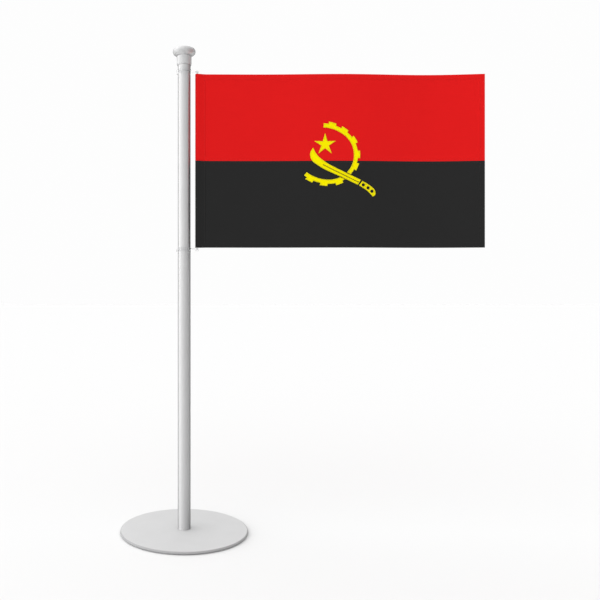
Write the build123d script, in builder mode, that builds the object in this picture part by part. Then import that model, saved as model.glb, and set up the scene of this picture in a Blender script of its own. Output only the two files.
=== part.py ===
"""Desk flag stand: steel disc foot, tubular pole with a screw-on finial, and a sewn 25 x 15 cm flag.

Frame: origin at the centre of the underside of the felt, +Z up the pole, the flag flies towards +X
and its front faces -Y.  All sizes are in millimetres.
"""
import os
from math import asin, atan2, cos, degrees, pi, radians, sin, sqrt

from build123d import *

# ---- driving dimensions: foot ----
BASE_DIAMETER = 110.0
BASE_THICKNESS = 2.0
BASE_TOP_ROUND = 1.0
BASE_UNDER_CHAMFER = 0.3
FELT_DIAMETER = 104.0
FELT_THICKNESS = 0.6
SCREW_DIAMETER = 3.0
SCREW_HEAD_DIAMETER = 6.0
SCREW_LENGTH = 12.0
SCREW_RECESS = 0.1
SCREW_CLEARANCE = 0.15
HEX_ACROSS_FLATS = 2.0
HEX_DEPTH = 1.1

# ---- driving dimensions: pole ----
POLE_DIAMETER = 11.0
POLE_WALL = 1.0
POLE_TOP = 406.6
FOOT_PLUG_LENGTH = 16.0
HEAD_PLUG_LENGTH = 18.0
RUNNING_CLEARANCE = 0.05

# ---- driving dimensions: finial ----
STUD_DIAMETER = 5.0
THREAD_DEPTH = 0.4
THREAD_PITCH = 0.8
GROOVE_HALF_WIDTH = 0.36
GROOVE_OVERCUT = 0.1
STUD_ENGAGEMENT = 10.0
STUD_IN_KNOB = 5.0
COLLAR_DIAMETER = 12.6
COLLAR_SKIRT = 3.6
COLLAR_WEB = 4.6
COLLAR_CHAMFER = 0.5
KNOB_DIAMETER = 19.6
KNOB_HALF_HEIGHT = 4.2
KNOB_LAND_RADIUS = 5.5
SHOULDER_RADIUS = 2.6

# ---- driving dimensions: flag and what holds it ----
FLAG_LENGTH = 250.0
FLAG_HEIGHT = 150.0
FLAG_BOTTOM = 245.4
HOIST_GAP = 4.05
CLOTH_THICKNESS = 0.4
WAVE_HEIGHT = 2.4
WAVE_COUNT = 1.6
WAVE_POINTS = 26
ROD_DIAMETER = 2.0
SLEEVE_DIAMETER = 3.0
SLEEVE_BORE = 2.2
RING_WALL = 0.7
RING_HEIGHT = 1.4
RING_GAP = 0.3
EAR_RADIUS = 1.6
CAP_DIAMETER = 2.8
CAP_HEIGHT = 1.2
CAP_GRIP = 0.8
CAP_CHAMFER = 0.4
STOP_SECTION = 1.3

# ---- driving dimensions: emblem, measured from the middle of the flag ----
GEAR_CENTRE = (-9.4, 5.0)
GEAR_INNER_RADIUS = 21.4
GEAR_END_EXTRA_RADIUS = 10.0
GEAR_BAND = 3.6
GEAR_TOP_JOIN = 49.7
GEAR_TAIL_JOIN = -90.2
GEAR_TOP_END = 87.1
GEAR_TAIL_END = -128.0
TOOTH_WIDTH = 6.3
TOOTH_HEIGHT = 1.9
TOOTH_ANGLES = (83.7, 58.4, 30.9, 1.2, -23.0, -70.0, -100.3, -128.2)
STAR_CENTRE = (-12.9, 14.1)
STAR_RADIUS = 9.7
STAR_WAIST = 0.36
RIVETS = ((20.2, -20.8), (24.3, -23.4), (27.7, -26.3))
RIVET_RADIUS = 1.4
PATCH_THICKNESS = 0.25
BLADE_THICKNESS = 0.45
PATCH_REACH = 8.0

# ---- derived positions ----
BASE_BOTTOM = FELT_THICKNESS
BASE_TOP = BASE_BOTTOM + BASE_THICKNESS
POLE_RADIUS = POLE_DIAMETER / 2
POLE_BORE_RADIUS = POLE_RADIUS - POLE_WALL
COLLAR_BOTTOM = POLE_TOP - COLLAR_SKIRT
COLLAR_TOP = POLE_TOP + COLLAR_WEB
SHOULDER_X = KNOB_DIAMETER / 2 - SHOULDER_RADIUS
KNOB_RISE = KNOB_HALF_HEIGHT - SHOULDER_RADIUS
CROWN_DROP = (SHOULDER_X**2 - KNOB_RISE**2) / (2 * KNOB_RISE)
CROWN_RADIUS = CROWN_DROP + KNOB_HALF_HEIGHT
CROWN_ANGLE = degrees(atan2(SHOULDER_X, CROWN_DROP))
LAND_ANGLE = degrees(asin(KNOB_LAND_RADIUS / CROWN_RADIUS))
KNOB_CENTRE = COLLAR_TOP + CROWN_RADIUS * cos(radians(LAND_ANGLE)) - CROWN_DROP
FLAG_TOP = FLAG_BOTTOM + FLAG_HEIGHT
FLAG_MIDDLE = FLAG_BOTTOM + FLAG_HEIGHT / 2
HOIST_X = POLE_RADIUS + HOIST_GAP
FLY_X = HOIST_X + FLAG_LENGTH
ROD_X = HOIST_X + SLEEVE_DIAMETER / 2
CLOTH_START_X = ROD_X + (SLEEVE_DIAMETER + SLEEVE_BORE) / 4
RING_BORE_RADIUS = POLE_RADIUS + 2 * RUNNING_CLEARANCE
UPPER_RING_BOTTOM = FLAG_TOP + RING_GAP
LOWER_RING_BOTTOM = FLAG_BOTTOM - RING_GAP - RING_HEIGHT
UPPER_CAP_BOTTOM = UPPER_RING_BOTTOM + RING_HEIGHT + RUNNING_CLEARANCE
LOWER_CAP_BOTTOM = LOWER_RING_BOTTOM - RUNNING_CLEARANCE - CAP_HEIGHT
UPPER_STOP_Z = UPPER_RING_BOTTOM + RING_HEIGHT + RING_GAP + STOP_SECTION / 2
LOWER_STOP_Z = LOWER_RING_BOTTOM - RING_GAP - STOP_SECTION / 2
EMBLEM_PLANE = Plane(origin=(HOIST_X + FLAG_LENGTH / 2, 0, FLAG_MIDDLE), x_dir=(1, 0, 0), z_dir=(0, -1, 0))

os.makedirs("parts", exist_ok=True)


# ---- helpers ----
def cloth_y(x):
    """Sideways wave of the cloth at x: nothing at the hoist, growing towards the fly."""
    run = (x - CLOTH_START_X) / (FLY_X - CLOTH_START_X)
    return WAVE_HEIGHT * run * sin(2 * pi * WAVE_COUNT * run)


def cloth_layer(bottom, top, near, far):
    """Upright layer that follows the wave, between two offsets from the middle of the cloth."""
    step = (FLY_X - CLOTH_START_X) / (WAVE_POINTS - 1)
    stations = [CLOTH_START_X + step * i for i in range(WAVE_POINTS)]
    with BuildPart() as layer:
        with BuildSketch(Plane.XY.offset(bottom)):
            with BuildLine():
                near_edge = Spline(*[(x, cloth_y(x) + near) for x in stations])
                far_edge = Spline(*[(x, cloth_y(x) + far) for x in stations])
                Line(near_edge @ 0, far_edge @ 0)
                Line(near_edge @ 1, far_edge @ 1)
            make_face()
        extrude(amount=top - bottom)
    return layer.part


def cloth_panel(bottom, top):
    """One half of the flag: the waved cloth with its share of the hoist sleeve."""
    with BuildPart() as panel:
        add(cloth_layer(bottom, top, -CLOTH_THICKNESS / 2, CLOTH_THICKNESS / 2))
        with BuildSketch(Plane.XY.offset(bottom)):
            with Locations((ROD_X, 0)):
                Circle(SLEEVE_DIAMETER / 2)
        extrude(amount=top - bottom)
        with BuildSketch(Plane.XY.offset(bottom)):
            with Locations((ROD_X, 0)):
                Circle(SLEEVE_BORE / 2)
        extrude(amount=top - bottom, mode=Mode.SUBTRACT)
    return panel.part


def polar(centre, radius, angle):
    """Point at an angle in degrees on a circle."""
    return (centre[0] + radius * cos(radians(angle)), centre[1] + radius * sin(radians(angle)))


# ---- foot ----
with BuildPart() as base_disc:
    with Locations((0, 0, BASE_BOTTOM)):
        Cylinder(BASE_DIAMETER / 2, BASE_THICKNESS, align=(Align.CENTER, Align.CENTER, Align.MIN))
    fillet(base_disc.edges().sort_by(Axis.Z)[-1], BASE_TOP_ROUND)
    chamfer(base_disc.edges().sort_by(Axis.Z)[0], BASE_UNDER_CHAMFER)
    with Locations(Plane(origin=(0, 0, BASE_BOTTOM), z_dir=(0, 0, -1))):
        CounterSinkHole(
            SCREW_DIAMETER / 2 + SCREW_CLEARANCE,
            SCREW_HEAD_DIAMETER / 2 + SCREW_CLEARANCE,
            depth=BASE_THICKNESS,
            counter_sink_angle=90,
        )
base_disc.part.label = "base_disc"
export_step(base_disc.part, "parts/base_disc.step")

with BuildPart() as base_felt:
    with BuildSketch():
        Circle(FELT_DIAMETER / 2)
    extrude(amount=FELT_THICKNESS)
base_felt.part.label = "base_felt"
export_step(base_felt.part, "parts/base_felt.step")

HEAD_BOTTOM = BASE_BOTTOM + SCREW_RECESS
HEAD_CONE = (SCREW_HEAD_DIAMETER - SCREW_DIAMETER) / 2
with BuildPart() as base_screw:
    with BuildSketch(Plane.XZ):
        with BuildLine():
            Polyline(
                (0, HEAD_BOTTOM),
                (SCREW_HEAD_DIAMETER / 2, HEAD_BOTTOM),
                (SCREW_DIAMETER / 2, HEAD_BOTTOM + HEAD_CONE),
                (SCREW_DIAMETER / 2, HEAD_BOTTOM + SCREW_LENGTH),
                (0, HEAD_BOTTOM + SCREW_LENGTH),
                close=True,
            )
        make_face()
    revolve(axis=Axis.Z)
    chamfer(base_screw.edges().sort_by(Axis.Z)[-1], THREAD_DEPTH)
    with BuildSketch(Plane.XY.offset(HEAD_BOTTOM)):
        RegularPolygon(HEX_ACROSS_FLATS / 2, 6, major_radius=False)
    extrude(amount=HEX_DEPTH, mode=Mode.SUBTRACT)
base_screw.part.label = "base_screw"
export_step(base_screw.part, "parts/base_screw.step")

# ---- pole ----
with BuildPart() as pole_tube:
    with BuildSketch(Plane.XY.offset(BASE_TOP)):
        Circle(POLE_RADIUS)
        Circle(POLE_BORE_RADIUS, mode=Mode.SUBTRACT)
    extrude(amount=POLE_TOP - BASE_TOP)
pole_tube.part.label = "pole_tube"
export_step(pole_tube.part, "parts/pole_tube.step")

with BuildPart() as pole_foot_plug:
    with BuildSketch(Plane.XY.offset(BASE_TOP)):
        Circle(POLE_BORE_RADIUS)
        Circle(SCREW_DIAMETER / 2, mode=Mode.SUBTRACT)
    extrude(amount=FOOT_PLUG_LENGTH)
pole_foot_plug.part.label = "pole_foot_plug"
export_step(pole_foot_plug.part, "parts/pole_foot_plug.step")

with BuildPart() as pole_head_plug:
    with BuildSketch(Plane.XY.offset(POLE_TOP - HEAD_PLUG_LENGTH)):
        Circle(POLE_BORE_RADIUS)
        Circle(STUD_DIAMETER / 2 + RUNNING_CLEARANCE, mode=Mode.SUBTRACT)
    extrude(amount=HEAD_PLUG_LENGTH)
pole_head_plug.part.label = "pole_head_plug"
export_step(pole_head_plug.part, "parts/pole_head_plug.step")

# ---- finial ----
STUD_BOTTOM = POLE_TOP - STUD_ENGAGEMENT
STUD_TOP = COLLAR_TOP + STUD_IN_KNOB
with BuildPart() as finial_stud:
    with BuildSketch(Plane.XY.offset(STUD_BOTTOM)):
        Circle(STUD_DIAMETER / 2)
    extrude(amount=STUD_TOP - STUD_BOTTOM)
    chamfer(finial_stud.edges().sort_by(Axis.Z)[0], THREAD_DEPTH)
    with BuildSketch(Plane.XZ):
        thread_count = int(STUD_ENGAGEMENT / THREAD_PITCH) - 1
        for turn in range(thread_count):
            root_z = STUD_BOTTOM + (turn + 1) * THREAD_PITCH
            with BuildLine():
                Polyline(
                    (STUD_DIAMETER / 2 + GROOVE_OVERCUT, root_z - GROOVE_HALF_WIDTH),
                    (STUD_DIAMETER / 2 - THREAD_DEPTH, root_z),
                    (STUD_DIAMETER / 2 + GROOVE_OVERCUT, root_z + GROOVE_HALF_WIDTH),
                    close=True,
                )
            make_face()
    revolve(axis=Axis.Z, mode=Mode.SUBTRACT)
finial_stud.part.label = "finial_stud"
export_step(finial_stud.part, "parts/finial_stud.step")

with BuildPart() as finial_collar:
    with BuildSketch(Plane.XY.offset(COLLAR_BOTTOM)):
        Circle(COLLAR_DIAMETER / 2)
    extrude(amount=COLLAR_TOP - COLLAR_BOTTOM)
    chamfer(finial_collar.edges().group_by(Axis.Z)[0], COLLAR_CHAMFER)
    chamfer(finial_collar.edges().group_by(Axis.Z)[-1], COLLAR_DIAMETER / 2 - KNOB_LAND_RADIUS)
    with BuildSketch(Plane.XY.offset(COLLAR_BOTTOM)):
        Circle(POLE_RADIUS + RUNNING_CLEARANCE)
    extrude(amount=COLLAR_SKIRT, mode=Mode.SUBTRACT)
    with BuildSketch(Plane.XY.offset(POLE_TOP)):
        Circle(STUD_DIAMETER / 2 + 2 * RUNNING_CLEARANCE)
    extrude(amount=COLLAR_WEB, mode=Mode.SUBTRACT)
finial_collar.part.label = "finial_collar"
export_step(finial_collar.part, "parts/finial_collar.step")

with BuildPart() as finial_knob:
    with BuildSketch(Plane.XZ):
        with BuildLine():
            crown = CenterArc((0, KNOB_CENTRE - CROWN_DROP), CROWN_RADIUS, 90, -CROWN_ANGLE)
            shoulder = CenterArc(
                (SHOULDER_X, KNOB_CENTRE),
                SHOULDER_RADIUS,
                90 - CROWN_ANGLE,
                2 * CROWN_ANGLE - 180,
            )
            under = CenterArc(
                (0, KNOB_CENTRE + CROWN_DROP), CROWN_RADIUS, CROWN_ANGLE - 90, LAND_ANGLE - CROWN_ANGLE
            )
            Polyline(
                under @ 1,
                (STUD_DIAMETER / 2, COLLAR_TOP),
                (STUD_DIAMETER / 2, STUD_TOP),
                (0, STUD_TOP),
                crown @ 0,
            )
        make_face()
    revolve(axis=Axis.Z)
finial_knob.part.label = "finial_knob"
export_step(finial_knob.part, "parts/finial_knob.step")

# ---- rings that grip the pole, and rings that carry the flag ----
for name, stop_z in (("upper_stop_ring", UPPER_STOP_Z), ("lower_stop_ring", LOWER_STOP_Z)):
    with BuildPart() as stop_ring:
        with BuildSketch(Plane.XZ):
            with Locations((POLE_RADIUS + RUNNING_CLEARANCE + STOP_SECTION / 2, stop_z)):
                Circle(STOP_SECTION / 2)
        revolve(axis=Axis.Z)
    stop_ring.part.label = name
    export_step(stop_ring.part, f"parts/{name}.step")

for name, ring_bottom in (("upper_pole_ring", UPPER_RING_BOTTOM), ("lower_pole_ring", LOWER_RING_BOTTOM)):
    with BuildPart() as pole_ring:
        with BuildSketch(Plane.XY.offset(ring_bottom)):
            Circle(RING_BORE_RADIUS + RING_WALL)
            with Locations((ROD_X, 0)):
                Circle(EAR_RADIUS)
            with Locations((ROD_X / 2, 0)):
                Rectangle(ROD_X, 2 * EAR_RADIUS)
            Circle(RING_BORE_RADIUS, mode=Mode.SUBTRACT)
            with Locations((ROD_X, 0)):
                Circle(ROD_DIAMETER / 2 + RUNNING_CLEARANCE, mode=Mode.SUBTRACT)
        extrude(amount=RING_HEIGHT)
    pole_ring.part.label = name
    export_step(pole_ring.part, f"parts/{name}.step")

# ---- hoist rod and its two push-on caps ----
ROD_BOTTOM = LOWER_CAP_BOTTOM + CAP_HEIGHT - CAP_GRIP
ROD_TOP = UPPER_CAP_BOTTOM + CAP_GRIP
with BuildPart() as hoist_rod:
    with BuildSketch(Plane.XY.offset(ROD_BOTTOM)):
        with Locations((ROD_X, 0)):
            Circle(ROD_DIAMETER / 2)
    extrude(amount=ROD_TOP - ROD_BOTTOM)
hoist_rod.part.label = "hoist_rod"
export_step(hoist_rod.part, "parts/hoist_rod.step")

for name, cap_bottom, outward in (
    ("rod_upper_cap", UPPER_CAP_BOTTOM, 1),
    ("rod_lower_cap", LOWER_CAP_BOTTOM, -1),
):
    open_end = cap_bottom if outward > 0 else cap_bottom + CAP_HEIGHT
    with BuildPart() as rod_cap:
        with BuildSketch(Plane.XY.offset(open_end)):
            with Locations((ROD_X, 0)):
                Circle(CAP_DIAMETER / 2)
        extrude(amount=outward * CAP_HEIGHT)
        chamfer(rod_cap.edges().sort_by(Axis.Z, reverse=outward > 0)[0], CAP_CHAMFER)
        with BuildSketch(Plane.XY.offset(open_end)):
            with Locations((ROD_X, 0)):
                Circle(ROD_DIAMETER / 2)
        extrude(amount=outward * CAP_GRIP, mode=Mode.SUBTRACT)
    rod_cap.part.label = name
    export_step(rod_cap.part, f"parts/{name}.step")

# ---- flag cloth ----
with BuildPart() as flag_red_panel:
    add(cloth_panel(FLAG_MIDDLE, FLAG_TOP))
flag_red_panel.part.label = "flag_red_panel"
export_step(flag_red_panel.part, "parts/flag_red_panel.step")

with BuildPart() as flag_black_panel:
    add(cloth_panel(FLAG_BOTTOM, FLAG_MIDDLE))
flag_black_panel.part.label = "flag_black_panel"
export_step(flag_black_panel.part, "parts/flag_black_panel.step")

# ---- emblem outlines ----
END_RADIUS = GEAR_INNER_RADIUS + GEAR_END_EXTRA_RADIUS
TOP_CENTRE = polar(GEAR_CENTRE, -GEAR_END_EXTRA_RADIUS, GEAR_TOP_JOIN)
TAIL_CENTRE = polar(GEAR_CENTRE, -GEAR_END_EXTRA_RADIUS, GEAR_TAIL_JOIN)


def gear_rim(offset_out):
    """Three tangent arcs of the half gear, from its top end round to its tail."""
    with BuildLine() as rim:
        CenterArc(TOP_CENTRE, END_RADIUS + offset_out, GEAR_TOP_END, GEAR_TOP_JOIN - GEAR_TOP_END)
        CenterArc(
            GEAR_CENTRE, GEAR_INNER_RADIUS + offset_out, GEAR_TOP_JOIN, GEAR_TAIL_JOIN - GEAR_TOP_JOIN
        )
        CenterArc(TAIL_CENTRE, END_RADIUS + offset_out, GEAR_TAIL_JOIN, GEAR_TAIL_END - GEAR_TAIL_JOIN)
    return rim.wire()


def rim_reach(angle):
    """Distance from the gear's centre to its outer rim, in the direction of an angle."""
    if GEAR_TAIL_JOIN <= angle <= GEAR_TOP_JOIN:
        return GEAR_INNER_RADIUS + GEAR_BAND
    turn = radians(angle - (GEAR_TOP_JOIN if angle > GEAR_TOP_JOIN else GEAR_TAIL_JOIN))
    across = GEAR_END_EXTRA_RADIUS * sin(turn)
    return sqrt((END_RADIUS + GEAR_BAND) ** 2 - across**2) - GEAR_END_EXTRA_RADIUS * cos(turn)


def tooth_place(angle):
    """Where a tooth stands on the outer rim, pointing away from the gear's centre."""
    return Location((*polar(GEAR_CENTRE, rim_reach(angle), angle), 0), (0, 0, angle))


with BuildSketch() as gear_outline:
    with BuildLine():
        add(gear_rim(0))
        add(gear_rim(GEAR_BAND))
        Line(gear_rim(0) @ 0, gear_rim(GEAR_BAND) @ 0)
        Line(gear_rim(0) @ 1, gear_rim(GEAR_BAND) @ 1)
    make_face()
    with Locations(*[tooth_place(angle) for angle in TOOTH_ANGLES]):
        Rectangle(2 * TOOTH_HEIGHT, TOOTH_WIDTH)

STAR_POINTS = [
    polar(STAR_CENTRE, STAR_RADIUS * (STAR_WAIST if i % 2 else 1), 90 + 36 * i) for i in range(10)
]
with BuildSketch() as star_outline:
    with BuildLine():
        Polyline(*STAR_POINTS, close=True)
    make_face()

with BuildSketch() as blade_outline:
    with BuildLine():
        upper = Spline((-23.3, 11.4), (-19.5, 4.8), (-12.9, -0.8), (-3.4, -6.2), (18.0, -16.5))
        heel = Line(upper @ 1, (15.4, -20.7))
        lower = Line(heel @ 1, (-14.5, -6.9))
        Spline(lower @ 1, (-23.7, -0.3), (-25.8, 6.1), upper @ 0, tangents=(lower % 1, (0.6, 0.8)))
    make_face()

with BuildSketch() as handle_outline:
    with BuildLine():
        back = Spline((19.3, -17.4), (23.6, -19.7), (29.1, -23.8), (30.8, -27.2))
        tip = Spline(back @ 1, (30.6, -29.4), (28.4, -30.8), tangents=(back % 1, (-0.8, 0.4)))
        belly = Spline(tip @ 1, (24.0, -26.2), (16.5, -21.2))
        Line(belly @ 1, back @ 0)
    make_face()
    with Locations(*RIVETS):
        Circle(RIVET_RADIUS, mode=Mode.SUBTRACT)

# ---- emblem patches, one set on each face of the flag ----
FACE = CLOTH_THICKNESS / 2
for side, sign in (("front", -1), ("back", 1)):
    thin_layer = cloth_layer(FLAG_BOTTOM, FLAG_TOP, sign * FACE, sign * (FACE + PATCH_THICKNESS))
    thick_layer = cloth_layer(FLAG_BOTTOM, FLAG_TOP, sign * FACE, sign * (FACE + BLADE_THICKNESS))

    with BuildPart() as emblem_gear:
        extrude(EMBLEM_PLANE * gear_outline.sketch, amount=PATCH_REACH, both=True)
        add(thin_layer, mode=Mode.INTERSECT)
    emblem_gear.part.label = f"emblem_gear_{side}"
    export_step(emblem_gear.part, f"parts/emblem_gear_{side}.step")

    with BuildPart() as emblem_star:
        extrude(EMBLEM_PLANE * star_outline.sketch, amount=PATCH_REACH, both=True)
        add(thin_layer, mode=Mode.INTERSECT)
    emblem_star.part.label = f"emblem_star_{side}"
    export_step(emblem_star.part, f"parts/emblem_star_{side}.step")

    with BuildPart() as emblem_blade:
        extrude(EMBLEM_PLANE * blade_outline.sketch, amount=PATCH_REACH, both=True)
        add(thick_layer, mode=Mode.INTERSECT)
        add(emblem_gear.part, mode=Mode.SUBTRACT)
    emblem_blade.part.label = f"emblem_blade_{side}"
    export_step(emblem_blade.part, f"parts/emblem_blade_{side}.step")

    with BuildPart() as emblem_handle:
        extrude(EMBLEM_PLANE * handle_outline.sketch, amount=PATCH_REACH, both=True)
        add(thin_layer, mode=Mode.INTERSECT)
    emblem_handle.part.label = f"emblem_handle_{side}"
    export_step(emblem_handle.part, f"parts/emblem_handle_{side}.step")
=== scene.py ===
"""Looks of the desk flag stand: painted foot, satin steel tube and finial, and a sewn satin flag."""
from math import atan2, cos, degrees, hypot, pi, radians, sin, sqrt

import bpy
import numpy as np
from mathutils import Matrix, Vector
from mathutils.geometry import delaunay_2d_cdt


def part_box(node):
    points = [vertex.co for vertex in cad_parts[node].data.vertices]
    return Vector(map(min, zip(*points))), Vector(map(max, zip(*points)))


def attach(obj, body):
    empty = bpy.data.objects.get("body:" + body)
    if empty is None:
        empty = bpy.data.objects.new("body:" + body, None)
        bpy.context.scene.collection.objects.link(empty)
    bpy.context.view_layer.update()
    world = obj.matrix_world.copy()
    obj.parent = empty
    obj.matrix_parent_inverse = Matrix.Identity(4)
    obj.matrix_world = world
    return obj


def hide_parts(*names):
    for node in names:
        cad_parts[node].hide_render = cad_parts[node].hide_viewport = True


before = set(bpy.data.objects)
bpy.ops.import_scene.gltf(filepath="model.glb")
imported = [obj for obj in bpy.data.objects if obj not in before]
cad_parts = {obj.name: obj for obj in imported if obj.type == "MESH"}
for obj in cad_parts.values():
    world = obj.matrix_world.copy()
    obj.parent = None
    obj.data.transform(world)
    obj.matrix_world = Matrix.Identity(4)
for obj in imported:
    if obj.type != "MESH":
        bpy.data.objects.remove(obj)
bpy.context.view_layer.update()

MM = 0.001

# ---- places read from the frame ----
RED_LOW, RED_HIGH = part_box("flag_red_panel")
BLACK_LOW, BLACK_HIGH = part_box("flag_black_panel")
ROD_LOW, ROD_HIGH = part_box("hoist_rod")
DISC_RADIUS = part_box("base_disc")[1].x
HOIST_X, FLY_X = RED_LOW.x, RED_HIGH.x
FLAG_TOP, FLAG_MIDDLE, FLAG_BOTTOM = RED_HIGH.z, BLACK_HIGH.z, BLACK_LOW.z
ROD_X = (ROD_LOW.x + ROD_HIGH.x) / 2
EMBLEM_X = (HOIST_X + FLY_X) / 2

# ---- cloth ----
WAVE_HEIGHT = 2.4 * MM
WAVE_COUNT = 1.6
CLOTH_START_X = ROD_X + 1.3 * MM
CLOTH_HALF = 0.15 * MM
SLOPE_STEP = 0.5 * MM
FOLD_RADIUS = 0.3 * MM
FOLD_EDGE_SHARE = 0.15
HEM_WIDTH = 5.0 * MM
SEAM_WIDTH = 6.0 * MM
HEM_EXTRA = 0.22 * MM
FRONT_SHARE = 0.35
STEP_INSIDE, STEP_OUTSIDE = 0.1 * MM, 0.15 * MM
STITCH_INSET = 4.0 * MM
DIMPLE_DEPTH, DIMPLE_REACH = 0.08 * MM, 0.7 * MM
GRID_STEP = 1.6 * MM
# close grid lines for the fold, the stitches and the step of the hem: millimetres from an edge of the sheet
EDGE_LINES = (0.0, 0.12, 0.3, 0.7, 1.6, 2.8, 3.6, 4.0, 4.4, 4.88, 5.0, 5.15, 5.8)

# ---- hoist sleeve ----
SLEEVE_RADIUS = ROD_X - HOIST_X
SLEEVE_WALL = 0.3 * MM
SLEEVE_REACH = 7.5 * MM
SLEEVE_STITCH = 6.4 * MM
SHEET_START_X = ROD_X + 5.6 * MM
SLEEVE_END_FRONT = 0.17 * MM
SLEEVE_END_BACK = 0.45 * MM
SLEEVE_LEAST_LIFT = 0.01 * MM
SLEEVE_STEPS, SLEEVE_ROWS = 14, 48
GATHER_HEIGHT = 0.04 * MM
GATHER_PITCH = 3.1 * MM

# ---- threads ----
THREAD_WIDTH = 0.34 * MM
THREAD_HEIGHT = 0.2 * MM
STITCH_PITCH = 2.5 * MM
STITCH_GAP = 0.22
THREAD_SINK = 0.06 * MM
SEAM_STITCH = 1.6 * MM
ROW_CLEAR, SEAM_CLEAR, EDGE_CLEAR = 1.6 * MM, 0.8 * MM, 1.5 * MM


# ================= materials =================
# facing at which the steel's painted edge shade is full
STEEL_PAINTED_SHADE_END = 0.95
# radii over which the foot's colour darkens into painted rim shade
PAINTED_RIM_SHADE_START, PAINTED_RIM_SHADE_FULL = DISC_RADIUS - 0.95 * MM, DISC_RADIUS - 0.55 * MM
WARP_PITCH, WEFT_PITCH = 0.42 * MM, 0.36 * MM
BAND_SCALE = 0.314  # the wave texture's scale for bands one metre apart
MIX_FIRST, MIX_SECOND, MIX_RESULT = 6, 7, 2  # colour sockets of the mix node, which share their names


def new_material(name):
    """Empty node material: itself, its tree and its Principled shader."""
    mat = bpy.data.materials.new(name)
    mat.use_nodes = True
    return mat, mat.node_tree, mat.node_tree.nodes["Principled BSDF"]


def node(tree, kind, **values):
    """Adds a node and sets its inputs by name, or its properties where no input has that name."""
    made = tree.nodes.new(kind)
    for key, value in values.items():
        if key in made.inputs:
            made.inputs[key].default_value = value
        else:
            setattr(made, key, value)
    return made


def object_coords(tree, scale=(1, 1, 1)):
    """Object coordinates in metres, stretched by scale."""
    coords = node(tree, "ShaderNodeTexCoord")
    mapping = node(tree, "ShaderNodeMapping", Scale=scale)
    tree.links.new(coords.outputs["Object"], mapping.inputs["Vector"])
    return mapping.outputs["Vector"]


def noise(tree, vector, scale, detail=3.0, rough=0.55):
    """Noise factor with a number of features per metre."""
    made = node(tree, "ShaderNodeTexNoise", Scale=scale, Detail=detail, Roughness=rough)
    tree.links.new(vector, made.inputs["Vector"])
    return made.outputs["Fac"]


def remap(tree, value, low, high, start=0.3, end=0.7):
    """Value from start to end, spread from low to high."""
    made = node(tree, "ShaderNodeMapRange")
    for key, number in (("From Min", start), ("From Max", end), ("To Min", low), ("To Max", high)):
        made.inputs[key].default_value = number
    tree.links.new(value, made.inputs["Value"])
    return made.outputs["Result"]


def combine(tree, kind, first, second):
    """Math of two values."""
    made = node(tree, "ShaderNodeMath", operation=kind)
    for socket, value in zip(made.inputs, (first, second)):
        if isinstance(value, float):
            socket.default_value = value
        else:
            tree.links.new(value, socket)
    return made.outputs["Value"]


def tint(tree, value, dark, light, start=0.0, end=1.0):
    """Colour between two tones as value goes from start to end."""
    ramp = node(tree, "ShaderNodeValToRGB")
    for element, tone, place in zip(ramp.color_ramp.elements, (dark, light), (start, end)):
        element.color = (*tone, 1)
        element.position = place
    tree.links.new(value, ramp.inputs["Fac"])
    return ramp.outputs["Color"]


def bump(tree, shader, height, strength, distance, below=None):
    """Bump on the shader; below is the normal of a coarser bump."""
    made = node(tree, "ShaderNodeBump", Strength=strength, Distance=distance)
    tree.links.new(height, made.inputs["Height"])
    if below is not None:
        tree.links.new(below, made.inputs["Normal"])
    tree.links.new(made.outputs["Normal"], shader.inputs["Normal"])
    return made.outputs["Normal"]


def blend_colours(tree, factor, first, second):
    """Colour from the first output to the second colour as factor goes from 0 to 1."""
    mix = node(tree, "ShaderNodeMix", data_type="RGBA")
    tree.links.new(factor, mix.inputs["Factor"])
    tree.links.new(first, mix.inputs[MIX_FIRST])
    mix.inputs[MIX_SECOND].default_value = second
    return mix.outputs[MIX_RESULT]


def shade(colour, factor):
    """Colour made darker or lighter by a factor."""
    return tuple(c * factor for c in colour)


def grey(level):
    """Neutral colour with alpha."""
    return (level, level, level, 1)


def steel(name, colour, rough, grain, anisotropy=0.0, painted_edge_shade=1.0, painted_shade_start=0.45):
    """Satin steel with a stretched grain, and painted shade: the colour darkens where faces turn away from
    the view, outlining the rims.
    """
    mat, tree, shader = new_material(name)
    lines = noise(tree, object_coords(tree, grain), 1.0, 4.0, 0.6)
    cloud = noise(tree, object_coords(tree), 60.0)
    # painted shade: the colour darkens towards the silhouette as faces turn from the view
    weight = node(tree, "ShaderNodeLayerWeight", Blend=0.5)
    edge = remap(tree, weight.outputs["Facing"], 0.0, 1.0, painted_shade_start, STEEL_PAINTED_SHADE_END)
    face_colour = tint(tree, cloud, shade(colour, 0.95), colour)
    painted_shade_colour = (*shade(colour, painted_edge_shade), 1)
    tree.links.new(blend_colours(tree, edge, face_colour, painted_shade_colour), shader.inputs["Base Color"])
    tree.links.new(remap(tree, lines, rough - 0.03, rough + 0.03), shader.inputs["Roughness"])
    shader.inputs["Metallic"].default_value = 1.0
    shader.inputs["Anisotropic"].default_value = anisotropy
    shader.inputs["Anisotropic Rotation"].default_value = 0.25
    bump(tree, shader, lines, 0.15, 0.01 * MM)
    return mat


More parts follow.
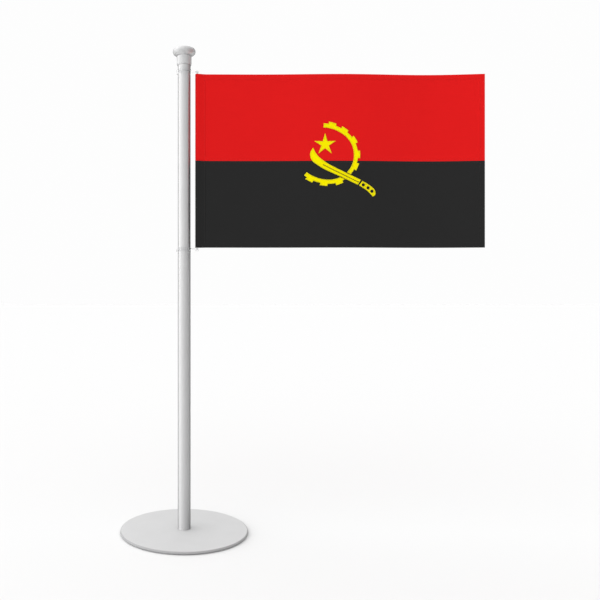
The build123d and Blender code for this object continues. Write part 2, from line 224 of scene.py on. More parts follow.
def coated_foot(name, colour, painted_shade_colour):
    """Satin grey powder coat, with painted shade: the colour darkens over the disc's rounded rim."""
    mat, tree, shader = new_material(name)
    reach = node(tree, "ShaderNodeVectorMath", operation="LENGTH")
    tree.links.new(object_coords(tree, (1, 1, 0)), reach.inputs[0])
    flakes = noise(tree, object_coords(tree), 3200.0, 2.0)
    cloud = noise(tree, object_coords(tree), 45.0, 4.0)
    mixed = combine(tree, "MULTIPLY", combine(tree, "ADD", flakes, cloud), 0.5)
    flat = tint(tree, mixed, shade(colour, 0.96), shade(colour, 1.03), 0.35, 0.65)
    # painted shade: the colour darkens over the rounded rim, by radius
    edge = remap(tree, reach.outputs["Value"], 0.0, 1.0, PAINTED_RIM_SHADE_START, PAINTED_RIM_SHADE_FULL)
    tree.links.new(blend_colours(tree, edge, flat, (*painted_shade_colour, 1)), shader.inputs["Base Color"])
    tree.links.new(remap(tree, mixed, 0.5, 0.6), shader.inputs["Roughness"])
    shader.inputs["Specular IOR Level"].default_value = 0.25
    peel = noise(tree, object_coords(tree), 1400.0, 2.0)
    bump(tree, shader, peel, 0.15, 0.03 * MM)
    return mat


def satin_cloth(name, colour):
    """Satin polyester: a fine weave, faint slubs along the weft and a trace of sheen in its own colour."""
    mat, tree, shader = new_material(name)
    heights = []
    for direction, pitch in (("X", WARP_PITCH), ("Z", WEFT_PITCH)):
        bands = node(
            tree, "ShaderNodeTexWave",
            bands_direction=direction, Scale=BAND_SCALE / pitch, Distortion=0.6, Detail=1.0,
        )
        tree.links.new(object_coords(tree), bands.inputs["Vector"])
        heights.append(bands.outputs["Fac"])
    weave = combine(tree, "MULTIPLY", *heights)
    slubs = noise(tree, object_coords(tree, (40, 40, 900)), 1.0, 4.0, 0.6)
    cloud = noise(tree, object_coords(tree), 28.0, 4.0)
    mixed = combine(tree, "ADD", remap(tree, slubs, 0.0, 0.5), remap(tree, cloud, 0.0, 0.5))
    tree.links.new(tint(tree, mixed, shade(colour, 0.95), colour), shader.inputs["Base Color"])
    tree.links.new(remap(tree, slubs, 0.55, 0.68), shader.inputs["Roughness"])
    shader.inputs["Specular IOR Level"].default_value = 0.0
    shader.inputs["Sheen Weight"].default_value = 0.25
    shader.inputs["Sheen Roughness"].default_value = 0.4
    shader.inputs["Sheen Tint"].default_value = (*colour, 1)
    coarse = bump(tree, shader, slubs, 0.12, 0.04 * MM)
    bump(tree, shader, weave, 0.25, 0.05 * MM, coarse)
    return mat


def thread_material(name, colour):
    """Twisted polyester thread."""
    mat, tree, shader = new_material(name)
    twist = noise(tree, object_coords(tree), 2500.0, 2.0)
    tree.links.new(tint(tree, twist, shade(colour, 0.88), colour), shader.inputs["Base Color"])
    shader.inputs["Roughness"].default_value = 0.5
    shader.inputs["Specular IOR Level"].default_value = 0.15
    bump(tree, shader, twist, 0.3, 0.04 * MM)
    return mat


def felt_material(name, colour):
    """Pressed felt with tangled fibres."""
    mat, tree, shader = new_material(name)
    fibres = noise(tree, object_coords(tree), 1800.0, 6.0, 0.75)
    tree.links.new(tint(tree, fibres, shade(colour, 0.5), shade(colour, 1.5)), shader.inputs["Base Color"])
    shader.inputs["Roughness"].default_value = 0.95
    shader.inputs["Sheen Weight"].default_value = 0.4
    bump(tree, shader, fibres, 0.8, 0.2 * MM)
    return mat


def clear_material(name, colour, rough, ior):
    """Clear plastic or silicone with faint flow marks."""
    mat, tree, shader = new_material(name)
    flow = noise(tree, object_coords(tree), 500.0)
    tree.links.new(tint(tree, flow, shade(colour, 0.97), colour), shader.inputs["Base Color"])
    tree.links.new(remap(tree, flow, rough * 0.7, rough * 1.3), shader.inputs["Roughness"])
    shader.inputs["Transmission Weight"].default_value = 1.0
    shader.inputs["IOR"].default_value = ior
    bump(tree, shader, flow, 0.05, 0.03 * MM)
    return mat


def white_material(name, colour):
    """White plastic with faint lengthwise streaks."""
    mat, tree, shader = new_material(name)
    fibres = noise(tree, object_coords(tree, (3000, 3000, 60)), 1.0, 3.0)
    tree.links.new(tint(tree, fibres, shade(colour, 0.93), colour), shader.inputs["Base Color"])
    shader.inputs["Roughness"].default_value = 0.4
    bump(tree, shader, fibres, 0.1, 0.02 * MM)
    return mat


RED = (0.655, 0.0115, 0.0118)
BLACK = (0.0212, 0.0212, 0.0212)
YELLOW = (0.84, 0.745, 0.001)
BROWN = (0.16, 0.11, 0.005)

# the second colour is the painted shade over the foot's rim
FOOT_PAINT = coated_foot("foot_paint", (0.537, 0.537, 0.539), (0.35, 0.35, 0.353))
# the edge numbers set the painted shade at the silhouettes: how dark it gets, and how far a face must turn
# first
POLE_STEEL = steel(
    "pole_satin", (0.64, 0.64, 0.642), 0.50, (2600, 2600, 30),
    anisotropy=0.9, painted_edge_shade=0.25, painted_shade_start=0.32,
)
FINIAL_STEEL = steel(
    "finial_satin", (0.80, 0.80, 0.802), 0.68, (900, 900, 900),
    anisotropy=0.9, painted_edge_shade=0.35, painted_shade_start=0.62,
)
PLAIN_STEEL = steel("plain_steel", (0.45, 0.45, 0.455), 0.40, (900, 900, 900))
SCREW_STEEL = steel("zinc_steel", (0.55, 0.56, 0.58), 0.32, (500, 500, 500))
FELT = felt_material("grey_felt", (0.2, 0.2, 0.202))
CLEAR_PLASTIC = clear_material("clear_plastic", (0.99, 0.992, 0.995), 0.02, 1.08)
CLEAR_RUBBER = clear_material("clear_silicone", (0.985, 0.988, 0.99), 0.04, 1.08)
WHITE_PLASTIC = white_material("white_plastic", (0.88, 0.88, 0.875))
RED_CLOTH = satin_cloth("red_satin", RED)
BLACK_CLOTH = satin_cloth("black_satin", BLACK)
YELLOW_CLOTH = satin_cloth("yellow_satin", YELLOW)
RED_THREAD = thread_material("red_thread", RED)
BLACK_THREAD = thread_material("black_thread", shade(BLACK, 1.2))
YELLOW_THREAD = thread_material("yellow_thread", YELLOW)
BROWN_THREAD = thread_material("brown_thread", BROWN)

CAD_MATERIALS = {
    "base_disc": FOOT_PAINT,
    "base_felt": FELT,
    "base_screw": SCREW_STEEL,
    "pole_tube": POLE_STEEL,
    "pole_foot_plug": PLAIN_STEEL,
    "pole_head_plug": PLAIN_STEEL,
    "finial_collar": FINIAL_STEEL,
    "finial_knob": FINIAL_STEEL,
    "finial_stud": SCREW_STEEL,
    "hoist_rod": WHITE_PLASTIC,
    "upper_stop_ring": CLEAR_RUBBER,
    "lower_stop_ring": CLEAR_RUBBER,
    "upper_pole_ring": CLEAR_PLASTIC,
    "lower_pole_ring": CLEAR_PLASTIC,
    "rod_upper_cap": WHITE_PLASTIC,
    "rod_lower_cap": WHITE_PLASTIC,
}
for name, mat in CAD_MATERIALS.items():
    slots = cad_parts[name].data.materials
    slots.clear()
    slots.append(mat)


# ================= cloth surface =================
def cloth_y(x):
    """Sideways place of the middle of the cloth: still at the hoist, waving more towards the fly."""
    run = (x - CLOTH_START_X) / (FLY_X - CLOTH_START_X)
    return WAVE_HEIGHT * run * sin(2 * pi * WAVE_COUNT * run)


def on_cloth(x, z, lift):
    """Point that far off the middle of the cloth; a positive lift is towards the front."""
    slope = (cloth_y(x + SLOPE_STEP) - cloth_y(x - SLOPE_STEP)) / (2 * SLOPE_STEP)
    return Vector((x, cloth_y(x), z)) + Vector((slope, -1.0, 0.0)).normalized() * lift


def ease(value, start, end):
    """Smooth 0 to 1 as value goes from start to end."""
    t = min(1.0, max(0.0, (value - start) / (end - start)))
    return t * t * (3 - 2 * t)


def piece_from(name, verts, faces, mat):
    """New smooth mesh piece that rides on the flag."""
    mesh = bpy.data.meshes.new(name)
    mesh.from_pydata([tuple(v) for v in verts], [], faces)
    mesh.validate()
    mesh.shade_smooth()
    mesh.materials.append(mat)
    made = bpy.data.objects.new(name, mesh)
    bpy.context.scene.collection.objects.link(made)
    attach(made, "flag")
    return made


def grid_lines(low, high):
    """Grid lines from low to high: close together along both edges and even between them."""
    left = [low + d * MM for d in EDGE_LINES]
    right = [high - d * MM for d in reversed(EDGE_LINES)]
    count = max(1, round((right[0] - left[-1]) / GRID_STEP))
    middle = [left[-1] + (right[0] - left[-1]) * i / count for i in range(1, count)]
    return left + middle + right


def layer_lift(x, z, outer_z, join_z, side):
    """How far the cloth's face stands off its middle: hems and seam are thicker, stitches pull it in."""
    inset = min(FLY_X - x, abs(outer_z - z))
    hem = 1 - ease(inset, HEM_WIDTH - STEP_INSIDE, HEM_WIDTH + STEP_OUTSIDE)
    seam = 1 - ease(abs(z - join_z), SEAM_WIDTH / 2 - STEP_INSIDE, SEAM_WIDTH / 2 + STEP_OUTSIDE)
    dimple = DIMPLE_DEPTH * (1 - ease(abs(inset - STITCH_INSET), 0.0, DIMPLE_REACH))
    lift = CLOTH_HALF + max(hem, seam) * HEM_EXTRA * (FRONT_SHARE if side > 0 else 1.0) - dimple
    fold = min(1.0, max(inset, 0.0) / FOLD_RADIUS)
    return lift * (FOLD_EDGE_SHARE + (1 - FOLD_EDGE_SHARE) * sqrt(1 - (1 - fold) ** 2))


def cloth_sheet(name, outer_z, join_z, mat):
    """One half of the flag: thin waved cloth, with folded hems at the fly and at its outer long edge."""
    xs = grid_lines(SHEET_START_X, FLY_X)
    zs = grid_lines(min(outer_z, join_z), max(outer_z, join_z))
    verts = []
    for side in (1, -1):
        verts += [on_cloth(x, z, side * layer_lift(x, z, outer_z, join_z, side)) for z in zs for x in xs]
    columns, rows = len(xs), len(zs)
    back = columns * rows
    faces = []
    for j in range(rows - 1):
        for i in range(columns - 1):
            a = j * columns + i
            faces.append((a, a + 1, a + columns + 1, a + columns))
            faces.append((a + back, a + back + columns, a + back + columns + 1, a + back + 1))
    rim = list(range(columns))
    rim += [j * columns + columns - 1 for j in range(1, rows)]
    rim += [(rows - 1) * columns + i for i in range(columns - 2, -1, -1)]
    rim += [j * columns for j in range(rows - 2, 0, -1)]
    for a, b in zip(rim, rim[1:] + rim[:1]):
        faces.append((b, a, a + back, b + back))
    return piece_from(name, verts, faces, mat)


def sleeve_lift(x, side, radius):
    """Height of the sleeve's face over the middle of the cloth, from the rod to the stitched end."""
    end = SLEEVE_END_FRONT if side > 0 else SLEEVE_END_BACK
    end -= SLEEVE_RADIUS - radius
    return end + (radius - end) * (1 - ease(x, ROD_X, ROD_X + SLEEVE_REACH))


def sleeve_section(radius):
    """Closed outline round the rod, drawn in to the stitched end: front, round the rod, and back."""
    runs = []
    for side in (1, -1):
        run = []
        for i in range(SLEEVE_STEPS + 1):
            x = ROD_X + SLEEVE_REACH * (1 - i / SLEEVE_STEPS)
            lift = max(sleeve_lift(x, side, radius), SLEEVE_LEAST_LIFT)
            run.append((x, cloth_y(x) - side * lift))
        runs.append(run)
    turns = [pi * i / SLEEVE_STEPS for i in range(1, SLEEVE_STEPS)]
    round_rod = [(ROD_X - radius * sin(turn), -radius * cos(turn)) for turn in turns]
    return runs[0] + round_rod + runs[1][::-1]


def sleeve(name, low, high, mat):
    """Hollow hoist sleeve round the rod, slightly gathered."""
    verts, faces = [], []
    for radius in (SLEEVE_RADIUS, SLEEVE_RADIUS - SLEEVE_WALL):
        section = sleeve_section(radius)
        for j in range(SLEEVE_ROWS + 1):
            z = low + (high - low) * j / SLEEVE_ROWS
            gather = 1 - GATHER_HEIGHT / SLEEVE_RADIUS * (1 + sin(2 * pi * z / GATHER_PITCH))
            verts += [(x, y * gather, z) for x, y in section]
    ring = len(section)
    shell = ring * (SLEEVE_ROWS + 1)
    top = ring * SLEEVE_ROWS
    for i in range(ring):
        k = (i + 1) % ring
        for j in range(SLEEVE_ROWS):
            a, b = j * ring + i, j * ring + k
            faces.append((a + ring, b + ring, b, a))
            faces.append((shell + a, shell + b, shell + b + ring, shell + a + ring))
        faces.append((i, k, shell + k, shell + i))
        faces.append((top + k, top + i, shell + top + i, shell + top + k))
    return piece_from(name, verts, faces, mat)


# ================= stitches =================
# along one span: place, rise and width, each as a share; around it: place across and height
STITCH_STATIONS = (
    (0.0, -0.4, 0.45), (0.18, 0.65, 0.95), (0.5, 1.0, 1.0), (0.82, 0.65, 0.95), (1.0, -0.4, 0.45),
)
STITCH_RING = ((-1, 0.0), (-0.6, 0.75), (0.0, 1.0), (0.6, 0.75), (1, 0.0), (0.0, -0.6))


def add_stitch(verts, faces, start, end, place, width, height):
    """One thread span from start to end, each (x, z): a low arch with its ends sunk in the cloth."""
    along = Vector((end[0] - start[0], end[1] - start[1]))
    across = Vector((-along.y, along.x)).normalized() * (width / 2)
    base, ring = len(verts), len(STITCH_RING)
    for t, rise, wide in STITCH_STATIONS:
        for aside, up in STITCH_RING:
            x = start[0] + along.x * t + across.x * aside * wide
            z = start[1] + along.y * t + across.y * aside * wide
            verts.append(place(x, z, height * (rise + up) / 2))
    for s in range(len(STITCH_STATIONS) - 1):
        for i in range(ring):
            a, b = base + s * ring + i, base + s * ring + (i + 1) % ring
            faces.append((a, b, b + ring, a + ring))
    faces.append(tuple(base + i for i in reversed(range(ring))))
    last = base + (len(STITCH_STATIONS) - 1) * ring
    faces.append(tuple(last + i for i in range(ring)))


def stitch_row(
    verts, faces, points, place,
    pitch=STITCH_PITCH, gap=STITCH_GAP, width=THREAD_WIDTH, height=THREAD_HEIGHT,
):
    """Lockstitch along straight runs between points; gap is the share of the pitch without thread."""
    for (ax, az), (bx, bz) in zip(points, points[1:]):
        count = max(1, round(hypot(bx - ax, bz - az) / pitch))
        for i in range(count):
            ends = []
            for t in ((i + gap / 2) / count, (i + 1 - gap / 2) / count):
                ends.append((ax + (bx - ax) * t, az + (bz - az) * t))
            add_stitch(verts, faces, *ends, place, width, height)


def over(side, base):
    """Places a thread vertex that far over the front (side 1) or the back (side -1) of the cloth."""
    return lambda x, z, up: on_cloth(x, z, side * (base + up))


def over_sleeve(side):
    """Places a thread vertex on the sleeve near its stitched end."""
    return lambda x, z, up: on_cloth(x, z, side * (sleeve_lift(x, side, SLEEVE_RADIUS) - THREAD_SINK + up))


def panel_threads(name, outer_z, join_z, mat):
    """Stitching of one half: along the long hem, up the fly hem, down the sleeve, and along the seam."""
    inward = 1 if join_z > outer_z else -1
    long_z = outer_z + inward * STITCH_INSET
    fly_x = FLY_X - STITCH_INSET
    sleeve_x = ROD_X + SLEEVE_STITCH
    end_z = join_z - inward * SEAM_CLEAR
    seam_z = join_z - inward * SEAM_STITCH
    hem_run = [(sleeve_x + ROW_CLEAR, long_z), (fly_x, long_z), (fly_x, end_z)]
    seam_run = [(sleeve_x + ROW_CLEAR, seam_z), (fly_x - ROW_CLEAR, seam_z)]
    sleeve_run = [(sleeve_x, outer_z + inward * EDGE_CLEAR), (sleeve_x, end_z)]
    verts, faces = [], []
    for side, share in ((1, FRONT_SHARE), (-1, 1.0)):
        place = over(side, CLOTH_HALF + share * HEM_EXTRA - THREAD_SINK)
        stitch_row(verts, faces, hem_run, place)
        stitch_row(verts, faces, seam_run, place)
        stitch_row(verts, faces, sleeve_run, over_sleeve(side))
    return piece_from(name, verts, faces, mat)


# ================= flag cloth =================
red_sheet = cloth_sheet("flag_red_cloth", FLAG_TOP, FLAG_MIDDLE, RED_CLOTH)
red_sleeve = sleeve("hoist_sleeve_red", FLAG_MIDDLE, FLAG_TOP, RED_CLOTH)
red_threads = panel_threads("red_stitches", FLAG_TOP, FLAG_MIDDLE, RED_THREAD)
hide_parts("flag_red_panel")
black_sheet = cloth_sheet("flag_black_cloth", FLAG_BOTTOM, FLAG_MIDDLE, BLACK_CLOTH)
black_sleeve = sleeve("hoist_sleeve_black", FLAG_BOTTOM, FLAG_MIDDLE, BLACK_CLOTH)
black_threads = panel_threads("black_stitches", FLAG_BOTTOM, FLAG_MIDDLE, BLACK_THREAD)
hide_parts("flag_black_panel")

# ================= emblem outlines =================
# places in millimetres from the flag's middle, angles in degrees
GEAR_CENTRE = (-9.4, 5.0)
GEAR_INNER_RADIUS = 21.4
GEAR_END_EXTRA_RADIUS = 10.0
GEAR_BAND = 3.6
GEAR_TOP_JOIN, GEAR_TAIL_JOIN = 49.7, -90.2
GEAR_TOP_END, GEAR_TAIL_END = 87.1, -128.0
TOOTH_WIDTH, TOOTH_HEIGHT = 6.3, 1.9
TOOTH_ANGLES = (83.7, 58.4, 30.9, 1.2, -23.0, -70.0, -100.3, -128.2)
STAR_CENTRE, STAR_RADIUS, STAR_WAIST = (-12.9, 14.1), 9.7, 0.36
RIVETS, RIVET_RADIUS = ((20.2, -20.8), (24.3, -23.4), (27.7, -26.3)), 1.4
OUTLINE_STEP = 0.7
RING_POINTS = 24


def polar(centre, radius, angle):
    """Point at an angle in degrees on a circle."""
    return (centre[0] + radius * cos(radians(angle)), centre[1] + radius * sin(radians(angle)))


def rim_reach(angle, radius):
    """Distance from the gear's centre to one of its rims, in the direction of an angle."""
    if GEAR_TAIL_JOIN <= angle <= GEAR_TOP_JOIN:
        return radius
    turn = radians(angle - (GEAR_TOP_JOIN if angle > GEAR_TOP_JOIN else GEAR_TAIL_JOIN))
    across = GEAR_END_EXTRA_RADIUS * sin(turn)
    return sqrt((radius + GEAR_END_EXTRA_RADIUS) ** 2 - across**2) - GEAR_END_EXTRA_RADIUS * cos(turn)


def end_angle(radius, join, end):
    """Angle about the gear's centre at which a rim of the end arc stops."""
    middle = polar(GEAR_CENTRE, -GEAR_END_EXTRA_RADIUS, join)
    x, z = polar(middle, radius + GEAR_END_EXTRA_RADIUS, end)
    return degrees(atan2(z - GEAR_CENTRE[1], x - GEAR_CENTRE[0]))


def rim_run(marks, radius):
    """Points along a rim between marks, each an angle and a rise over the rim."""
    points = []
    for (angle_a, rise_a), (angle_b, rise_b) in zip(marks, marks[1:]):
        length = hypot(radius * radians(angle_a - angle_b), rise_b - rise_a)
        count = max(1, round(length / OUTLINE_STEP))
        for k in range(count):
            angle = angle_a + (angle_b - angle_a) * k / count
            rise = rise_a + (rise_b - rise_a) * k / count
            points.append(polar(GEAR_CENTRE, rim_reach(angle, radius) + rise, angle))
    return points


def gear_outline():
    """Closed outline: along the toothed rim, then back along the smooth inner one."""
    outer = GEAR_INNER_RADIUS + GEAR_BAND
    marks = [(end_angle(outer, GEAR_TOP_JOIN, GEAR_TOP_END), 0)]
    for middle in TOOTH_ANGLES:
        half = degrees(TOOTH_WIDTH / 2 / rim_reach(middle, outer))
        marks += [(middle + half, 0), (middle + half, TOOTH_HEIGHT)]
        marks += [(middle - half, TOOTH_HEIGHT), (middle - half, 0)]
    marks.append((end_angle(outer, GEAR_TAIL_JOIN, GEAR_TAIL_END), 0))
    inner = [
        (end_angle(GEAR_INNER_RADIUS, GEAR_TAIL_JOIN, GEAR_TAIL_END), 0),
        (end_angle(GEAR_INNER_RADIUS, GEAR_TOP_JOIN, GEAR_TOP_END), 0),
    ]
    rims = [rim_run(marks, outer), rim_run(inner, GEAR_INNER_RADIUS)]
    far = polar(GEAR_CENTRE, rim_reach(marks[-1][0], outer), marks[-1][0])
    top = polar(GEAR_CENTRE, rim_reach(inner[-1][0], GEAR_INNER_RADIUS), inner[-1][0])
    return rims[0] + straight([far, rims[1][0]]) + rims[1] + straight([top, rims[0][0]])


def straight(corners):
    """Evenly spaced points along the runs between corners, without the last corner."""
    points = []
    for a, b in zip(corners, corners[1:]):
        dx, dy = b[0] - a[0], b[1] - a[1]
        count = max(1, round(hypot(dx, dy) / OUTLINE_STEP))
        points += [(a[0] + dx * k / count, a[1] + dy * k / count) for k in range(count)]
    return points


def spline(a, b, c, d, t):
    """Catmull-Rom value between b and c at t, where a and d are the values before and after them."""
    return 0.5 * (2 * b + (c - a) * t + (2 * a - 5 * b + 4 * c - d) * t**2 + (3 * b - a - 3 * c + d) * t**3)


def curve(points):
    """Smooth run through points, without the last point."""
    ends = [points[0], *points, points[-1]]
    made = []
    for p0, p1, p2, p3 in zip(ends, ends[1:], ends[2:], ends[3:]):
        count = max(2, round(hypot(p2[0] - p1[0], p2[1] - p1[1]) / OUTLINE_STEP))
        for k in range(count):
            made.append(tuple(spline(*values, k / count) for values in zip(p0, p1, p2, p3)))
    return made


def ring_of(centre, radius):
    """Closed ring of points round a hole."""
    return [polar(centre, radius, 360 / RING_POINTS * i) for i in range(RING_POINTS)]


GEAR_OUTLINE = gear_outline()
STAR_REACHES = (STAR_RADIUS, STAR_RADIUS * STAR_WAIST)
STAR_POINTS = [polar(STAR_CENTRE, STAR_REACHES[i % 2], 90 + 36 * i) for i in range(10)]
STAR_OUTLINE = straight(STAR_POINTS + STAR_POINTS[:1])
BLADE_TIP, BLADE_TOP, BLADE_HEEL, BLADE_BEND = (-23.3, 11.4), (18.0, -16.5), (15.4, -20.7), (-14.5, -6.9)
BLADE_OUTLINE = (
    curve([BLADE_TIP, (-19.5, 4.8), (-12.9, -0.8), (-3.4, -6.2), BLADE_TOP])
    + straight([BLADE_TOP, BLADE_HEEL, BLADE_BEND])
    + curve([BLADE_BEND, (-23.7, -0.3), (-25.8, 6.1), BLADE_TIP])
)
HANDLE_TOP, HANDLE_END, HANDLE_LOW = (19.3, -17.4), (28.4, -30.8), (16.5, -21.2)
HANDLE_OUTLINE = (
    curve([HANDLE_TOP, (23.6, -19.7), (29.1, -23.8), (30.8, -27.2), (30.4, -29.8), HANDLE_END])
    + curve([HANDLE_END, (24.0, -26.2), HANDLE_LOW])
    + straight([HANDLE_LOW, HANDLE_TOP])
)
RIVET_RINGS = [ring_of(centre, RIVET_RADIUS) for centre in RIVETS]
# the first line runs along the blade; the two short ones follow the blade's edges across the gear band,
# stitched outline that is also painted shade where the blade laps the gear
BLADE_LINES_AND_LAP_SHADE = (
    [(-14.9, -3.3), (-8.0, -6.9), (16.0, -18.6)],
    [(5.2, -10.1), (9.7, -12.3)],
    [(-1.2, -13.3), (4.2, -15.8)],
)

# ================= patches =================
# across the emblem, in its own millimetres
EDGE_ROUND = 0.45
EDGE_ROW_CLEAR = 0.8 * EDGE_ROUND
FILL_STEP = 1.5
FILL_CLEAR = EDGE_ROUND + 0.5
JOIN_DISTANCE = 1e-5
LEAST_SQUARE = 1e-12
SATIN_PITCH = 0.36
SATIN_WIDTH = 0.9
SATIN_LEAN = 0.12

# off the cloth, and shares
PATCH_RISE = 0.26 * MM
BLADE_RISE = 0.46 * MM
PATCH_EDGE_SHARE = 0.35
UNDER_SINK = 0.05 * MM
SATIN_THREAD = 1.05 * SATIN_PITCH * MM
SATIN_HEIGHT = 0.3 * MM
SATIN_BED_SHARE = 0.8
SATIN_LEAST_SHARE = 0.6

# brown thread on the blade, also used for the lines of painted lap shade
LINE_STITCHES = {"pitch": 1.6 * MM, "gap": 0.06, "width": 0.72 * MM, "height": 0.3 * MM}
LINE_LIFT = CLOTH_HALF + BLADE_RISE + 0.1 * MM


def edge_distance(points, outline):
    """Distance of each point from a closed outline."""
    p = np.array(points)[:, None, :]
    a = np.array(outline)[None, :, :]
    along = np.roll(a, -1, axis=1) - a
    t = np.clip(((p - a) * along).sum(2) / np.maximum((along**2).sum(2), LEAST_SQUARE), 0, 1)
    near = a + along * t[..., None]
    return np.hypot(*(p - near).transpose(2, 0, 1)).min(1)


def clearance(points, loops):
    """Distance of each point from the nearest of some closed outlines."""
    return np.min([edge_distance(points, loop) for loop in loops], axis=0)


def inside(point, outline):
    """True inside a closed outline, by counting crossings."""
    x, y = point
    hit = False
    for (ax, ay), (bx, by) in zip(outline, outline[1:] + outline[:1]):
        if (ay > y) != (by > y) and x < (bx - ax) * (y - ay) / (by - ay) + ax:
            hit = not hit
    return hit


def moved_in(loop, amount):
    """Closed loop moved towards its inside, or outwards if negative."""
    following = loop[1:] + loop[:1]
    area = sum(a[0] * b[1] - b[0] * a[1] for a, b in zip(loop, following))
    amount = amount if area > 0 else -amount
    made = []
    for before, here, after in zip(loop[-1:] + loop[:-1], loop, following):
        dx, dy = after[0] - before[0], after[1] - before[1]
        length = hypot(dx, dy) or 1.0
        made.append((here[0] - amount * dy / length, here[1] + amount * dx / length))
    return made


def fill_points(outline, holes):
    """Points inside a patch: a row along its edges, where it rounds over, and a grid in the middle."""

    def held(points, clear):
        kept = [p for p in points if inside(p, outline) and not any(inside(p, h) for h in holes)]
        if not kept:
            return []
        return [p for p, d in zip(kept, clearance(kept, [outline, *holes])) if d > clear]

    rows = [moved_in(outline, EDGE_ROUND)] + [moved_in(hole, -EDGE_ROUND) for hole in holes]
    edge = held([p for row in rows for p in row], EDGE_ROW_CLEAR)
    xs, zs = [p[0] for p in outline], [p[1] for p in outline]
    grid = [
        (x + (FILL_STEP / 2 if round(z / FILL_STEP) % 2 else 0), z)
        for z in np.arange(min(zs), max(zs), FILL_STEP)
        for x in np.arange(min(xs), max(xs), FILL_STEP)
    ]
    return edge + held(grid, FILL_CLEAR)


def on_emblem(point):
    """Place on the flat flag, in metres, of an emblem point in millimetres."""
    return EMBLEM_X + point[0] * MM, FLAG_MIDDLE + point[1] * MM


def on_flag(point, lift):
    """Emblem point placed on the waved flag at a lift from the middle of the cloth."""
    return on_cloth(*on_emblem(point), lift)


def patch(name, outline, holes, side, rise, cad_node):
    """Cloth patch on one face: filled outline that rounds over at its edge, closed underneath."""
    points, edges = [], []
    for loop in [outline, *holes]:
        first = len(points)
        points += loop
        edges += [(first + i, first + (i + 1) % len(loop)) for i in range(len(loop))]
    points += fill_points(outline, holes)
    filled = delaunay_2d_cdt([Vector(p) for p in points], edges, [], 0, JOIN_DISTANCE)
    flat = [(v.x, v.y) for v in filled[0]]
    faces = []
    for tri in filled[2]:
        middle = (sum(flat[i][0] for i in tri) / 3, sum(flat[i][1] for i in tri) / 3)
        if inside(middle, outline) and not any(inside(middle, hole) for hole in holes):
            faces.append(tuple(tri))
    verts = []
    for point, d in zip(flat, clearance(flat, [outline, *holes])):
        round_over = sqrt(1 - (1 - min(1.0, d / EDGE_ROUND)) ** 2)
        share = PATCH_EDGE_SHARE + (1 - PATCH_EDGE_SHARE) * round_over
        verts.append(on_flag(point, side * (CLOTH_HALF + rise * share)))
    under = len(verts)
    verts += [on_flag(point, side * (CLOTH_HALF - UNDER_SINK)) for point in flat]
    used = {(a, b) for face in faces for a, b in zip(face, face[1:] + face[:1])}
    walls = [(b, a, a + under, b + under) for a, b in used if (b, a) not in used]
    solid = faces + [tuple(i + under for i in reversed(face)) for face in faces] + sorted(walls)
    if side < 0:
        solid = [tuple(reversed(face)) for face in solid]
    made = piece_from(name, verts, solid, YELLOW_CLOTH)
    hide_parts(cad_node)
    return made


def satin_edge(name, outline, holes, side, rise):
    """Close zigzag of thread along the edges of a patch, narrower where the patch runs to a tip."""
    verts, faces = [], []
    place = over(side, CLOTH_HALF + rise * SATIN_BED_SHARE)
    for row in [moved_in(outline, SATIN_WIDTH / 2)] + [moved_in(hole, -SATIN_WIDTH / 2) for hole in holes]:
        corners = np.array(row + row[:1])
        spans = np.diff(corners, axis=0)
        lengths = np.concatenate([[0.0], np.cumsum(np.hypot(*spans.T))])
        stations = np.arange(0, lengths[-1] - SATIN_PITCH / 2, SATIN_PITCH)
        spots = np.searchsorted(lengths, stations, side="right") - 1
        along = spans[spots] / np.hypot(*spans[spots].T)[:, None]
        middles = corners[spots] + along * (stations - lengths[spots])[:, None]
        halves = np.column_stack((-along[:, 1], along[:, 0])) * SATIN_WIDTH / 2 - along * SATIN_LEAN
        shares = np.minimum(1.0, clearance(middles, [outline, *holes]) / (SATIN_WIDTH / 2))
        for middle, half, share in zip(middles, halves, shares):
            if share > SATIN_LEAST_SHARE:
                ends = [on_emblem(point) for point in (middle + half * share, middle - half * share)]
                add_stitch(verts, faces, *ends, place, SATIN_THREAD, SATIN_HEIGHT)
    return piece_from(name, verts, faces, YELLOW_THREAD)


def blade_lines(name, side):
    """Brown thread lines sewn on the blade; the short ones along its edges across the gear band are
    stitched outline that is also painted shade where the blade laps the gear.
    """
    verts, faces = [], []
    for line in BLADE_LINES_AND_LAP_SHADE:
        points = [on_emblem(point) for point in line]
        stitch_row(verts, faces, points, over(side, LINE_LIFT), **LINE_STITCHES)
    return piece_from(name, verts, faces, BROWN_THREAD)


for side_name, side in (("front", 1), ("back", -1)):
    for what, outline, holes, rise in (
        ("gear", GEAR_OUTLINE, [], PATCH_RISE),
        ("star", STAR_OUTLINE, [], PATCH_RISE),
        ("blade", BLADE_OUTLINE, [], BLADE_RISE),
        ("handle", HANDLE_OUTLINE, RIVET_RINGS, PATCH_RISE),
    ):
        cad_node = f"emblem_{what}_{side_name}"
        patch(f"{what}_patch_{side_name}", outline, holes, side, rise, cad_node)
        satin_edge(f"{what}_edging_{side_name}", outline, holes, side, rise)
    blade_lines(f"blade_lines_{side_name}", side)

# ================= floor, light and camera =================
EYE_DISTANCE = 0.5823
EYE_HEIGHT = 0.20015
LENS, SENSOR_WIDTH = 40.38, 36.0
SHIFT_X = 0.193
BACKDROP = 0.985
FLOOR_TONE = 0.745
FLOOR_REACH = 30.0
DOME_PEAK = 3.3
# angle round the object in degrees, 0 on the camera's side and -90 on the left, with the dome's level there
DOME_TURNS = (
    (-180, 0.9), (-140, 1.7), (-110, 3.3), (-90, 3.3), (-60, 2.5),
    (0, 1.2), (25, 0.63), (60, 0.12), (110, 0.01), (150, 0.01), (180, 0.85),
)
# level overhead, and the heights on the dome at which it begins and takes over
CROWN_LEVEL = 1.37
CROWN_START, CROWN_FULL = 0.2, 0.8


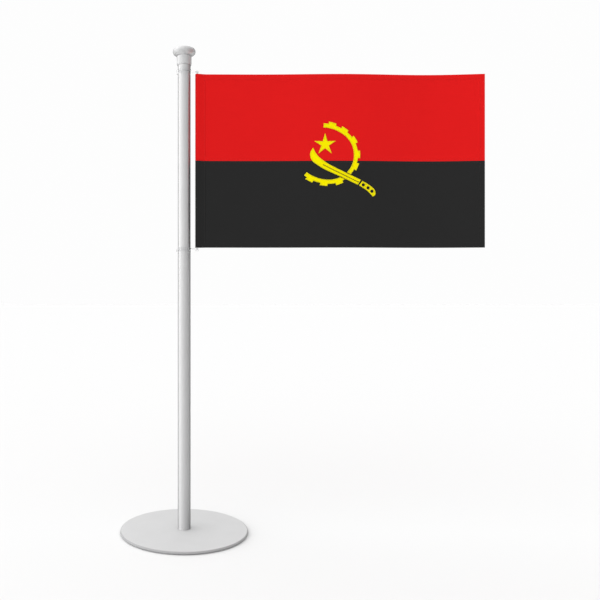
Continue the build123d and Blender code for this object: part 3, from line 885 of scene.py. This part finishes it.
def build_floor():
    """Wide pale floor."""
    mesh = bpy.data.meshes.new("floor")
    corners = [(x * FLOOR_REACH, y * FLOOR_REACH, 0) for x, y in ((-1, -1), (1, -1), (1, 1), (-1, 1))]
    mesh.from_pydata(corners, [], [(0, 1, 2, 3)])
    floor = bpy.data.objects.new("floor", mesh)
    bpy.context.scene.collection.objects.link(floor)
    mat, _, shader = new_material("pale_floor")
    shader.inputs["Base Color"].default_value = grey(FLOOR_TONE)
    shader.inputs["Roughness"].default_value = 1.0
    shader.inputs["Specular IOR Level"].default_value = 0.0
    mesh.materials.append(mat)


def build_light():
    """Studio dome: a wide soft light on the left that falls away to dim on the right."""
    world = bpy.data.worlds.new("studio")
    bpy.context.scene.world = world
    world.use_nodes = True
    tree = world.node_tree
    tree.nodes.clear()
    coords = node(tree, "ShaderNodeTexCoord")
    axes = node(tree, "ShaderNodeSeparateXYZ")
    tree.links.new(coords.outputs["Generated"], axes.inputs["Vector"])
    turn = combine(tree, "ARCTAN2", axes.outputs["X"], combine(tree, "MULTIPLY", axes.outputs["Y"], -1.0))
    ramp = node(tree, "ShaderNodeValToRGB")
    stops = ramp.color_ramp.elements
    while len(stops) < len(DOME_TURNS):
        stops.new(0.5)
    for stop, (angle, level) in zip(stops, DOME_TURNS):
        stop.position = (angle + 180) / 360
        stop.color = grey(level / DOME_PEAK)
    tree.links.new(remap(tree, turn, 0.0, 1.0, -pi, pi), ramp.inputs["Fac"])
    height = remap(tree, axes.outputs["Z"], 0.0, 1.0, CROWN_START, CROWN_FULL)
    crown = grey(CROWN_LEVEL / DOME_PEAK)
    dome = node(tree, "ShaderNodeBackground", Strength=DOME_PEAK)
    tree.links.new(blend_colours(tree, height, ramp.outputs["Color"], crown), dome.inputs["Color"])
    seen = node(tree, "ShaderNodeBackground", Color=grey(BACKDROP), Strength=1.0)
    path = node(tree, "ShaderNodeLightPath")
    mix = node(tree, "ShaderNodeMixShader")
    out = node(tree, "ShaderNodeOutputWorld")
    tree.links.new(path.outputs["Is Camera Ray"], mix.inputs["Fac"])
    tree.links.new(dome.outputs["Background"], mix.inputs[1])
    tree.links.new(seen.outputs["Background"], mix.inputs[2])
    tree.links.new(mix.outputs["Shader"], out.inputs["Surface"])


def build_camera():
    """Level view with the pole straight ahead, shifted so that the pole stands left of the middle."""
    data = bpy.data.cameras.new("camera")
    data.lens = LENS
    data.sensor_width = SENSOR_WIDTH
    data.shift_x = SHIFT_X
    camera = bpy.data.objects.new("camera", data)
    camera.location = (0.0, -EYE_DISTANCE, EYE_HEIGHT)
    camera.rotation_euler = (radians(90), 0, 0)
    bpy.context.scene.collection.objects.link(camera)
    bpy.context.scene.camera = camera


build_floor()
build_light()
build_camera()
bpy.context.scene.view_settings.view_transform = "Standard"
bpy.context.scene.view_settings.look = "None"
